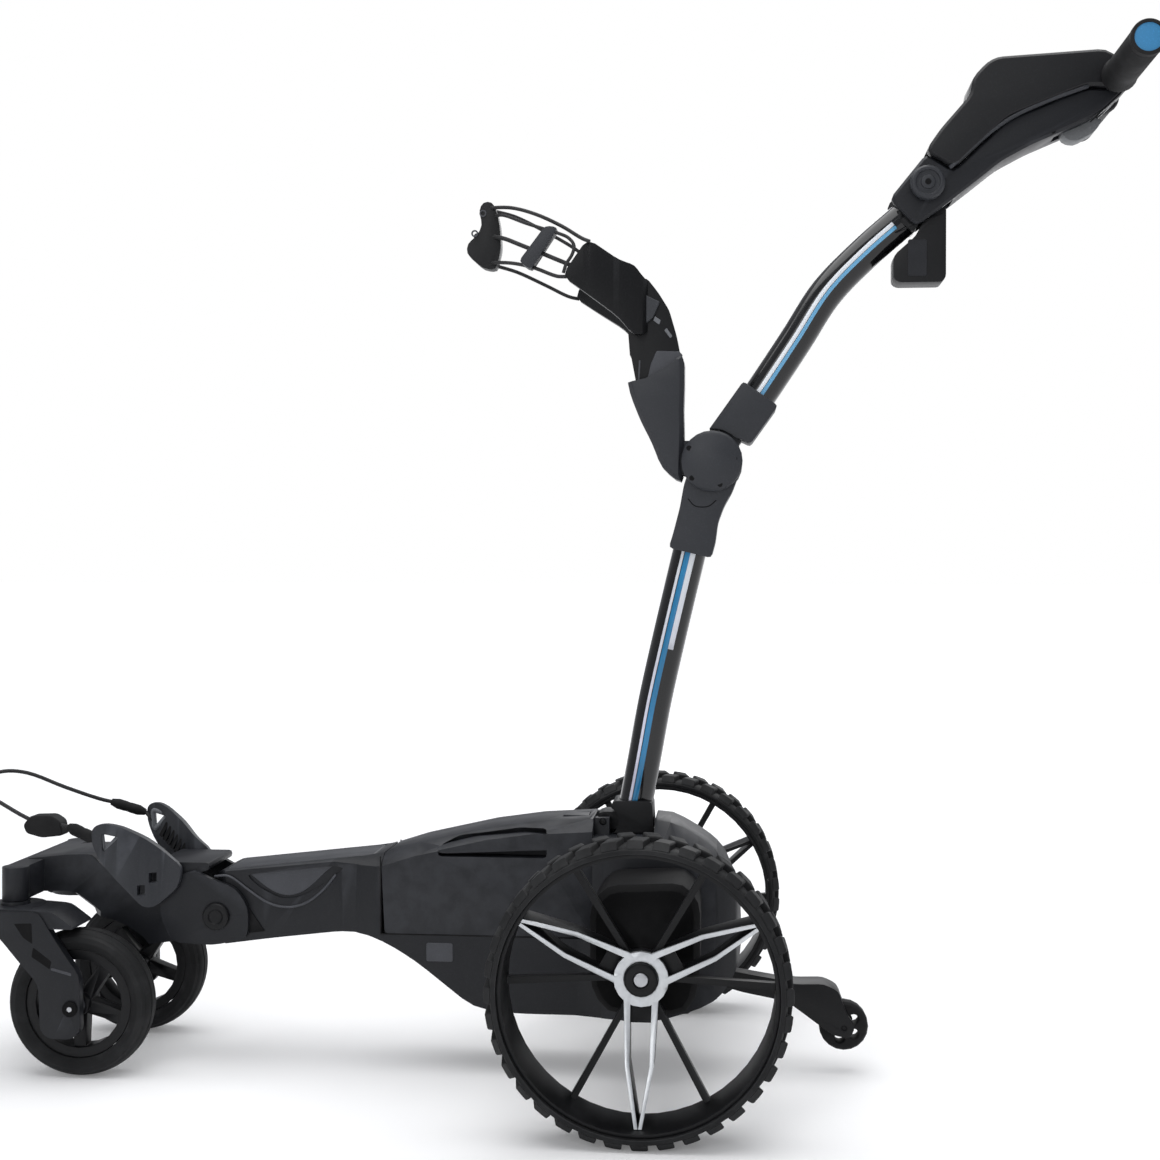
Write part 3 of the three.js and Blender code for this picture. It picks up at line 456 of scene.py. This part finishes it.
# ---- cords ----
STRAP_TOP = [(69, 75, 977), (78, 73, 981), (103, 62, 998), (135, 50, 1015), (170, 25, 1029), (199, 0, 1033)]
STRAP_LOW = [(96, 78.5, 936), (108, 72, 938), (135, 60, 950), (168, 30, 962), (196, 0, 967)]
STRAP_INNER = [
    (190, 6, 1024), (176, 24, 1020), (148, 45, 1006), (124, 57, 996), (106, 67, 988.5), (94, 72, 982),
    (87.5, 74, 973), (89.5, 76, 962), (96, 78, 951), (99.5, 78, 940.5),
]
STRAP_CENTRE = [(88, 72, 949), (112, 66, 960), (128, 58, 968), (152, 42, 980), (175, 24, 992), (192, 6, 999)]
LOWER_STRAP = [
    (648, 86, 271), (660, 91, 280), (690, 84, 290), (740, 66, 293), (791, 48, 312), (830, 22, 324),
    (838, 0, 334), (820, -24, 341), (797, -42, 337), (753, -58, 317), (710, -76, 299), (668, -90, 288),
    (648, -86, 272),
]
TOGGLE = [(698, 279), (724, 276), (743, 281), (747, 291), (738, 302), (712, 303), (701, 296)]
CORD_STEPS, CORD_SIDES, JOINER_SIDES = 5, 14, 18
JOINER_SHAPE = (0.62, 0.8, 1, 1, 1, 0.93, 1, 1, 1, 0.8, 0.6)  # shares of its radius, end to end


def mirrored_path(near):
    return near + [(x, -y, z) for x, y, z in reversed(near[:-1])]


def free_cord(name, points, radius, body, replaced=None):
    path = spline(points, CORD_STEPS)
    obj = finished(pipe(name, path, radius, CORD_SIDES), "cord_jacket", body)
    if replaced:
        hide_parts(replaced)


def strap_joiner(name, path, start, end, radius):
    """A stepped barrel moulded over a cord between two shares of its length."""
    first, last = round(start * (len(path) - 1)), round(end * (len(path) - 1))
    count = len(JOINER_SHAPE) - 1
    run = [path[first].lerp(path[last], k / count) for k in range(count + 1)]
    barrel = pipe(name, run, [radius * s for s in JOINER_SHAPE], JOINER_SIDES)
    return finished(barrel, "pad_rubber", "front", 0.4)


lower_path = spline(LOWER_STRAP, CORD_STEPS)
on_the_strap = [
    strap_joiner("strap_joiner_left", lower_path, 0.05, 0.165, 7.2),
    strap_joiner("strap_joiner_right", lower_path, 0.845, 0.955, 6.6),
    finished(plate("strap_toggle", TOGGLE, 62, 84, 4), "pad_rubber", "front", 2.2, 3),
]
free_cord("lower_strap_cord", LOWER_STRAP, 2.4, "front", "lower_strap")
free_cord("upper_strap_top_cord", mirrored_path(STRAP_TOP), 2.2, "bag_rest", "upper_strap_top")
free_cord("upper_strap_low_cord", mirrored_path(STRAP_LOW), 2.2, "bag_rest", "upper_strap_low")
free_cord("upper_strap_inner_cord", STRAP_INNER, 2.0, "bag_rest")
free_cord("upper_strap_centre_cord", STRAP_CENTRE, 2.6, "bag_rest")

# ---- tubes and their stripes ----
LOWER_TUBE = [
    (25, 0, 287.5), (18.7, 0, 317), (8, 0, 374), (-4, 0, 440), (-23, 0, 525), (-44, 0, 614), (-53, 0, 652),
]
UPPER_TUBE = [
    (-104, 0, 770), (-130, 0, 808.5), (-170, 0, 869), (-207, 0, 926.6), (-250, 0, 971), (-296, 0, 1011),
]
TUBE_RADIUS, TUBE_STEPS, TUBE_SIDES = 20, 8, 48

# each stripe: name, its start and end as shares of the tube, its lower and upper angle, material
LOWER_STRIPES = (
    ("pale_line", 0.1, 0.93, -0.44, -0.27, "stripe_silver"),
    ("blue_line", 0.1, 0.93, -0.22, 0.1, "stripe_blue"),
    ("pale_patch", 0.62, 0.93, 0.1, 0.42, "stripe_silver"),
)
UPPER_STRIPES = (
    ("pale_line", 0.1, 0.95, -0.24, 0.0, "stripe_silver"),
    ("blue_line", 0.1, 0.95, 0.03, 0.24, "stripe_blue"),
)


def tube(name, points, body, node, stripes):
    path = spline(points, TUBE_STEPS)
    obj = finished(pipe(name, path, TUBE_RADIUS, TUBE_SIDES), "tube_gloss", body, 0.6)
    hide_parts(node)
    last = len(path) - 1
    for label, start, end, low, high, material in stripes:
        run = path[round(start * last) : round(end * last) + 1]
        both_sides(lambda word, side: finished(
            band(f"{name}_{label}_{word}", run, side, TUBE_RADIUS, low, high), material, body,
        ))


tube("lower_tube_skin", LOWER_TUBE, "mast_lower", "lower_tube", LOWER_STRIPES)
tube("upper_tube_skin", UPPER_TUBE, "mast_upper", "upper_tube", UPPER_STRIPES)

# ---- CAD nodes: finish and eased edges ----
FINISH = {
    "shell_plastic": "chassis_shell battery_pack front_bracket fork_left fork_right handle_lower",
    "mid_plastic": "lower_bracket upper_bracket joint_cover_left joint_cover_right bag_arm tilt_knob "
    "lower_arm_left lower_arm_right battery_latch spine_cover strap_slider",
    "black_plastic": "belly_cover rear_rim_left rear_rim_right mast_boot bag_cradle strap_hook tube_head "
    "accessory_box anti_tip_arm hub_button_left hub_button_right front_rim_left front_rim_right "
    "fold_bolt mast_pin",
    "cover_plastic": "handle_upper",
    # The gearmotors sit deep in the housing and are given the painted shade.
    "recess_shade": "gearmotor_left gearmotor_right",
    "silver_trim": "spoke_trim_left spoke_trim_right",
    "steel": "mid_pin tilt_pin drive_axle_left drive_axle_right handle_bar front_axle_left front_axle_right",
    "grip_rubber": "grip_left grip_right anti_tip_wheel",
    "cap_plastic": "grip_cap_left grip_cap_right",
    "trigger_plastic": "speed_trigger",
    "board": "control_board",
}
EDGE = {
    "chassis_shell": 3.5, "battery_pack": 3.2, "handle_upper": 4.5, "handle_lower": 1.4, "front_bracket": 3,
    "fork_left": 3, "fork_right": 3, "bag_arm": 3, "bag_cradle": 2, "lower_bracket": 3, "upper_bracket": 3.5,
    "lower_arm_left": 2.2, "lower_arm_right": 2.2, "accessory_box": 4, "mast_boot": 2.5, "tilt_knob": 0.8,
    "anti_tip_arm": 2.5, "spoke_trim_left": 0.7, "spoke_trim_right": 0.7, "spine_cover": 2,
}
OTHER_EDGE = 0.9
EDGE_SEGMENTS = 3
JOIN_DISTANCE = 0.02


def finish_node(node, material, edge):
    dress(node, material)
    join = node.modifiers.new("join", "WELD")
    join.merge_threshold = JOIN_DISTANCE / MM_PER_METRE
    bevel(node, edge, EDGE_SEGMENTS)


for material, names in FINISH.items():
    for name in names.split():
        finish_node(NODES[name], material, EDGE.get(name, OTHER_EDGE))


# ---- rear tyres: two staggered rows of lugs on a carcass ----
REAR = dict(radius=160, inner=228, outer=300, bead=146.3, valley=153.5, sides=96)
LUG_COUNT, LUG_ROOT, LUG_FILL = 36, 152.0, 0.66
LUG_LEAN, LUG_SLANT = 5.5, 0.018


def lug(points, faces, side, angle, inner, outer, shoulder):
    """A chunky block over the tread; its edge at the shoulder, outer if 1 and inner if -1, leans in."""
    radius = REAR["radius"]
    half = math.pi / LUG_COUNT * LUG_FILL
    levels = (
        (LUG_ROOT, inner, outer, 1.0, 0),
        (radius - 1.2, inner + 0.6, outer - 0.6, 0.95, LUG_LEAN),
        (radius, inner + 2, outer - 2, 0.8, LUG_LEAN),
    )
    start = len(points)
    for r, low, high, wide, lean in levels:
        edges = (low, high - lean) if shoulder > 0 else (low + lean, high)
        for y, turn in zip(edges, (1, -1)):
            for k in (-1, 0, 1):
                t = angle + LUG_SLANT * turn * shoulder + k * half * wide
                points.append(at(r * math.cos(t), side * y, radius + r * math.sin(t)))
    ring = [0, 1, 2, 5, 4, 3]
    for level in range(2):
        a, b = start + level * 6, start + level * 6 + 6
        for k in range(6):
            i, j = ring[k], ring[(k + 1) % 6]
            faces.append((a + i, a + j, b + j, b + i))
    top = start + 12
    faces += [(top, top + 1, top + 4, top + 3), (top + 1, top + 2, top + 5, top + 4)]
    faces += [(start + 3, start + 4, start + 1, start), (start + 4, start + 5, start + 2, start + 1)]


def rear_tyre(word, side):
    radius, inner, outer, bead, valley, sides = REAR.values()
    section = [
        (bead, inner + 1), (bead + 4, inner + 0.2), (bead + 5.5, inner + 2), (valley - 3, inner + 4),
        (valley, inner + 9), (valley, outer - 9), (valley - 2.5, outer - 4), (bead + 5.6, outer - 1.8),
        (bead + 4.6, outer - 0.3), (bead + 0.6, outer - 0.3), (bead, outer - 1),
    ]
    carcass = lathe(f"tyre_carcass_{word}", section, side, 0, radius, sides)
    finished(carcass, "tyre_rubber", f"rear_wheel_{word}", 0.5)
    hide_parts(f"rear_tyre_{word}")
    points, faces = [], []
    middle = (inner + outer) / 2
    step = 2 * math.pi / LUG_COUNT
    for i in range(LUG_COUNT):
        lug(points, faces, side, i * step, middle + 2, outer - 1.5, 1)
        lug(points, faces, side, (i + 0.5) * step, inner + 1.5, middle - 2, -1)
    tread = outward(piece(f"tyre_tread_{word}", points, faces))
    finished(tread, "tyre_rubber", f"rear_wheel_{word}", 0.7)


both_sides(rear_tyre)

# ---- front wheels ----
FRONT = dict(x=667.5, radius=86.5, track=96, bead=64, sides=72)


def front_tyre(word, side):
    x, r, track, bead, sides = FRONT.values()
    half = [
        (bead, -15), (bead + 5, -19), (bead + 10, -21.6), (r - 7, -20.5), (r - 4.6, -17), (r - 5.6, -16.2),
        (r - 3, -14.4), (r - 1.6, -11), (r - 0.6, -7), (r - 2, -6.2), (r - 2, -5.2), (r - 0.2, -4.4), (r, 0),
    ]
    section = half + [(a, -b) for a, b in reversed(half[:-1])]
    tyre = lathe(f"front_tyre_tread_{word}", section, side, x, r, sides, track)
    finished(tyre, "tyre_rubber", f"front_wheel_{word}", 0.3)
    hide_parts(f"front_tyre_{word}")
    cap = [(0.2, 17.8), (9, 17.8), (10.5, 19.4), (9, 21), (0.2, 21.6)]
    hub = lathe(f"front_hub_cap_{word}", cap, side, x, r, CAP_SIDES, track)
    finished(hub, "mid_plastic", f"front_wheel_{word}", 0.4)


both_sides(front_tyre)

# ---- small features on both side faces: outlines in X and Z, y outwards ----
LINE_STEPS, LINE_SIDES = 6, 10
SCREW_SINK, SCREW_RISE = 1.5, 0.25


def line(name, points, y, radius, material, body):
    """A fine moulded ridge or seam."""
    def on_side(word, side):
        path = [Vector((x, side * y, z)) for x, z in points]
        if len(path) > 2:
            path = spline(path, LINE_STEPS)
        finished(pipe(f"{name}_{word}", path, radius, LINE_SIDES), material, body)

    both_sides(on_side)


def pad(name, outline, y0, y1, material, body, corner=2.0, rounding=0.6):
    """A thin panel from y0, inside the skin, to y1."""
    def on_side(word, side):
        panel = plate(f"{name}_{word}", outline, side * y0, side * y1, corner)
        finished(panel, material, body, rounding)

    both_sides(on_side)


# Each screw is a near-black disc: painted shade for the hollow of the screw hole.
def screws(name, places, y, body, radius):
    def on_side(word, side):
        for i, (x, z) in enumerate(places):
            low, high = side * (y - SCREW_SINK), side * (y + SCREW_RISE)
            finished(disc(f"{name}_{i + 1}_{word}", x, z, low, high, radius), "recess_shade", body, 0.2)

    both_sides(on_side)


def hook_ring(name, x, z):
    """The moulded eye that a strap end goes through."""
    section = [(2.4, 8.8), (4.3, 8.8), (4.3, 10.2), (2.4, 10.2)]
    both_sides(lambda word, side: finished(
        lathe(f"{name}_{word}", section, side, x, z, RING_SIDES), "light_plastic", "bag_rest", 0.3,
    ))


# Near-black seam lines: painted shade in the gaps round the battery.
line("battery_front_seam", [(318, 257), (317.6, 165)], 60, 0.9, "recess_shade", "chassis")
line("battery_floor_seam", [(66, 165.2), (318, 165.2)], 60, 0.8, "recess_shade", "chassis")
SPINE_RIDGE = [
    (525, 226.5), (507.6, 227), (482.9, 211), (462, 197.5), (444.7, 191.9), (426.3, 192.2), (409, 198.6),
    (390, 214), (376, 231),
]
# The spine ridge is drawn in the lighter light_plastic as a painted highlight along it.
line("spine_ridge_highlight", SPINE_RIDGE, 44, 1.5, "light_plastic", "chassis")
SPINE_PANEL = [
    (486, 232), (371, 248), (387, 236), (404, 219), (418, 208.5), (432.5, 204), (447, 206), (462, 214),
    (477, 226),
]
pad("spine_panel", SPINE_PANEL, 36.5, 40.6, "light_plastic", "chassis", 6)
# The notch is filled with painted shade.
pad("front_notch", [(483, 190), (463, 161.5), (483, 159)], 40, 44.2, "recess_shade", "chassis", 1)
SIDE_BADGE = [(231, 134), (263, 134), (263, 156), (231, 156)]
pad("side_badge", SIDE_BADGE, 56, 61, "light_plastic", "chassis", 3, 0.8)

JOINT_SCREWS = [(-45.2, 740.1), (-98.6, 727), (-48.7, 705), (-81.5, 697.4)]
screws("joint_screw", JOINT_SCREWS, 36.3, "mast_lower", 3.2)
TONGUE_LINE = [(-43.8, 681), (-51, 673), (-60, 671), (-69, 672.5), (-77, 679)]
# The tongue line is a near-black seam: painted shade in the gap.
line("tongue_line", TONGUE_LINE, 27, 0.6, "recess_shade", "mast_lower")

HANDLE_RIDGE = [(-346, 1063), (-382, 1095), (-413.7, 1118.2), (-457.6, 1138), (-502, 1153.4)]
# The handle ridge is drawn in the lighter mid_plastic as a painted highlight along it.
line("handle_ridge_highlight", HANDLE_RIDGE, 35, 2.4, "mid_plastic", "handle")
# The crease is a near-black line: painted shade in the crease.
line("handle_crease", [(-506, 1114), (-530, 1137), (-551, 1157)], 28.5, 0.8, "recess_shade", "handle")
HANDLE_SCREWS = [(-358.9, 1048.9), (-398.6, 1080.4), (-458.4, 1115), (-464.1, 1104), (-512, 1128)]
screws("handle_screw", HANDLE_SCREWS, 29.6, "handle", 2.8)
# The hole in the knob is a near-black disc of painted shade.
finished(disc("knob_hole_left", -320.6, 1046, 42.4, 43.2, 3.6), "recess_shade", "tilt_knob", 0.1)
BOX_PANEL = [(-300, 984), (-322, 984), (-322, 941), (-300, 941)]
pad("box_panel", BOX_PANEL, 18, 20.9, "shell_plastic", "handle", 3)
# The box seam is a near-black line: painted shade in the gap.
line("box_seam", [(-286, 992), (-340, 1014)], 20, 0.7, "recess_shade", "handle")

hook_ring("hook_ring_upper", 204, 1026)
hook_ring("hook_ring_lower", 214, 1002)
ARM_LINING = [(-6, 857), (-33, 856), (-37.5, 851), (-15, 827), (5, 822.5), (1, 841)]
pad("arm_lining", ARM_LINING, 18.5, 20.4, "light_plastic", "bag_rest", 2)
STEM_RIB = [(13, 846), (15, 846), (16.2, 823), (14.2, 822)]
pad("stem_rib", STEM_RIB, 18.5, 20.2, "light_plastic", "bag_rest", 0.5, 0.3)
STEM_CATCH = [(-4, 898), (-11, 893), (-9, 888), (-2, 893)]
pad("stem_catch", STEM_CATCH, 18.5, 20.4, "pale_plastic", "bag_rest", 1)
STEM_CLIP = [(-18, 884), (-25, 874), (-22, 872), (-15, 881)]
pad("stem_clip", STEM_CLIP, 18.5, 20.4, "pale_plastic", "bag_rest", 1)
HINGE_BLOCK = [(7, 923), (-10, 914.5), (-2, 896), (15, 882), (25, 894)]
pad("hinge_block", HINGE_BLOCK, 19, 24, "mid_plastic", "bag_rest", 2, 1)
HINGE_WINDOW = [(12, 905), (7.5, 895), (16.5, 887), (22, 894)]
# The window in the hinge block is filled with painted shade.
pad("hinge_window", HINGE_WINDOW, 23.5, 24.4, "recess_shade", "bag_rest", 1.5, 0.2)


# ---- casters, lower arms and grip ends ----
# Fork pockets: near-black painted shade; fork step: a lighter strip, a painted highlight along the step.
FORK_FEATURES = (
    ("fork_pocket_upper", [(735, 184), (714, 185), (713, 161), (724, 168)], "recess_shade"),
    ("fork_pocket_lower", [(712, 157), (714, 146), (692, 132), (690, 141)], "recess_shade"),
    ("fork_step_highlight", [(690, 134), (691, 131), (666, 124.5), (666, 128)], "light_plastic"),
)
FORK_SIDE, FORK_SKIN = 134.4, 2.4
EYE_LOOP, EYE_CORNER, EYE_RADIUS = [(627, 281), (649, 286), (646, 260)], 5, 3.2
CLOSING_GAP = Vector((0.01, 0, 0.01))
FIRST_RIB, RIB_RUN, RIB_COUNT = (600, 239), (30, 23), 6
RIB_OUTLINE = ((-7, 8), (-2.5, 10.5), (7, -7), (3, -10))
GRIP_X, GRIP_Z = -535, 1163


def eye_plane(x):
    """How far out the eye of a lower arm stands at x."""
    return 85 + (x - 640) * 0.2


def arm_face(x):
    """How far out the face of a lower arm's pad stands at x."""
    return 53.5 + (x - 585) * 0.565


def caster_details(word, side):
    """Painted shade in the pockets and a painted highlight strip along the step on a fork's outer side, and
    the near-black cap over its axle in the same painted shade.
    """
    body = f"caster_{word}"
    for name, outline, material in FORK_FEATURES:
        mark = plate(f"{name}_{word}", outline, side * (FORK_SIDE - FORK_SKIN), side * FORK_SIDE, 1.5)
        finished(mark, material, body, 0.3)
    section = [(0.2, 134), (9, 134), (9, 136.4), (7.6, 137.6), (3.4, 137.6), (2.6, 136.6), (0.2, 136.6)]
    cap = lathe(f"axle_cap_{word}", section, side, FRONT["x"], FRONT["radius"], CAP_SIDES)
    finished(cap, "recess_shade", body, 0.2)


def arm_details(word, side):
    """The moulded eye at the top of a lower arm, and the grip ribs on its pad."""
    path = [Vector((x, side * eye_plane(x), z)) for x, z in rounded(EYE_LOOP, EYE_CORNER, 5)]
    path.append(path[0] + CLOSING_GAP)
    finished(pipe(f"eye_ring_{word}", path, EYE_RADIUS, 12), "pale_plastic", "front")
    for i in range(RIB_COUNT):
        share = i / (RIB_COUNT - 1)
        x, z = (first + run * share for first, run in zip(FIRST_RIB, RIB_RUN))
        y = arm_face(x)
        outline = [(x + across, z + up) for across, up in RIB_OUTLINE]
        rib = plate(f"arm_rib_{i + 1}_{word}", outline, side * (y - 3.5), side * (y + 5), 1)
        finished(rib, "pad_rubber", "front", 1.2)


def grip_end(word, side):
    """The raised rim round the coloured cap at the end of a grip."""
    section = [
        (15.2, 177.6), (15.6, 179), (18.6, 179), (19.5, 178), (19.5, 169.6), (19.1, 169.6), (19.1, 177.6),
    ]
    bezel = lathe(f"grip_bezel_{word}", section, side, GRIP_X, GRIP_Z, GRIP_SIDES)
    finished(bezel, "grip_rubber", "handle", 0.3)


both_sides(caster_details)
both_sides(arm_details)
both_sides(grip_end)

# ---- floor and light: metres ----
FLOOR_REACH = 60
FLOOR_TONES = (0.84, 0.84, 0.845), (0.87, 0.87, 0.875)
NEAR_GLOW, FAR_GLOW = 0.14, 0.72
SET_RADIUS, FAR_RADIUS = 1.3, 5.0
WHITE = (1, 1, 1, 1)
SKY_TINT, SKY_STRENGTH = (0.93, 0.95, 1.0, 1), 0.42

# each light: name, place, what it faces, size, power in watts
SOFTBOXES = (
    ("top_light", (0.1, 0.1, 3.2), (0, 0, 0), (3.6, 3.6), 95),
    ("front_light", (0.9, 3.4, 2.0), (0, 0, 0.5), (1.6, 1.6), 22),
    ("back_light", (-0.8, -3.2, 1.8), (0, 0, 0.5), (2.2, 1.6), 25),
)


def make_floor():
    """A pale sheet that glows a little more with distance, so that its far edge fades out."""
    corners = [(-1, -1), (1, -1), (1, 1), (-1, 1)]
    floor = piece("floor", [(x * FLOOR_REACH, y * FLOOR_REACH, 0) for x, y in corners], [(0, 1, 2, 3)])
    graph = Graph("studio_floor")
    pale = graph.mix(graph.spread(graph.noise(scale=3, detail=3), MIDDLE, FULL), *FLOOR_TONES)
    graph.link(pale, graph.shader.inputs["Base Color"])
    away = graph.add("ShaderNodeVectorMath", operation="LENGTH")
    graph.link(graph.place, away.inputs[0])
    glow = graph.spread(away.outputs["Value"], (SET_RADIUS, FAR_RADIUS), (NEAR_GLOW, FAR_GLOW))
    graph.link(glow, graph.shader.inputs["Emission Strength"])
    graph.shader.inputs["Emission Color"].default_value = WHITE
    graph.shader.inputs["Roughness"].default_value = 0.9
    graph.shader.inputs["Specular IOR Level"].default_value = 0.1
    floor.data.materials.append(MATERIALS["studio_floor"])


def softbox(name, place, aim, size, power):
    light = bpy.data.objects.new(name, bpy.data.lights.new(name, "AREA"))
    light.data.shape = "RECTANGLE"
    light.data.size, light.data.size_y = size
    light.data.energy = power
    light.location = place
    light.rotation_mode = "QUATERNION"
    light.rotation_quaternion = (Vector(place) - Vector(aim)).to_track_quat("Z", "Y")
    bpy.context.scene.collection.objects.link(light)


def make_world():
    """A soft bluish sky for the light, plain white where the camera sees past the floor."""
    world = bpy.data.worlds.new("studio")
    bpy.context.scene.world = world
    world.use_nodes = True
    tree = world.node_tree
    sky = tree.nodes["Background"]
    sky.inputs["Color"].default_value = SKY_TINT
    sky.inputs["Strength"].default_value = SKY_STRENGTH
    seen = tree.nodes.new("ShaderNodeBackground")
    seen.inputs["Color"].default_value = WHITE
    rays = tree.nodes.new("ShaderNodeLightPath")
    choose = tree.nodes.new("ShaderNodeMixShader")
    tree.links.new(rays.outputs["Is Camera Ray"], choose.inputs["Fac"])
    tree.links.new(sky.outputs["Background"], choose.inputs[1])
    tree.links.new(seen.outputs["Background"], choose.inputs[2])
    tree.links.new(choose.outputs["Shader"], tree.nodes["World Output"].inputs["Surface"])


make_floor()
for light in SOFTBOXES:
    softbox(*light)
make_world()
bpy.context.scene.view_settings.view_transform = "Standard"
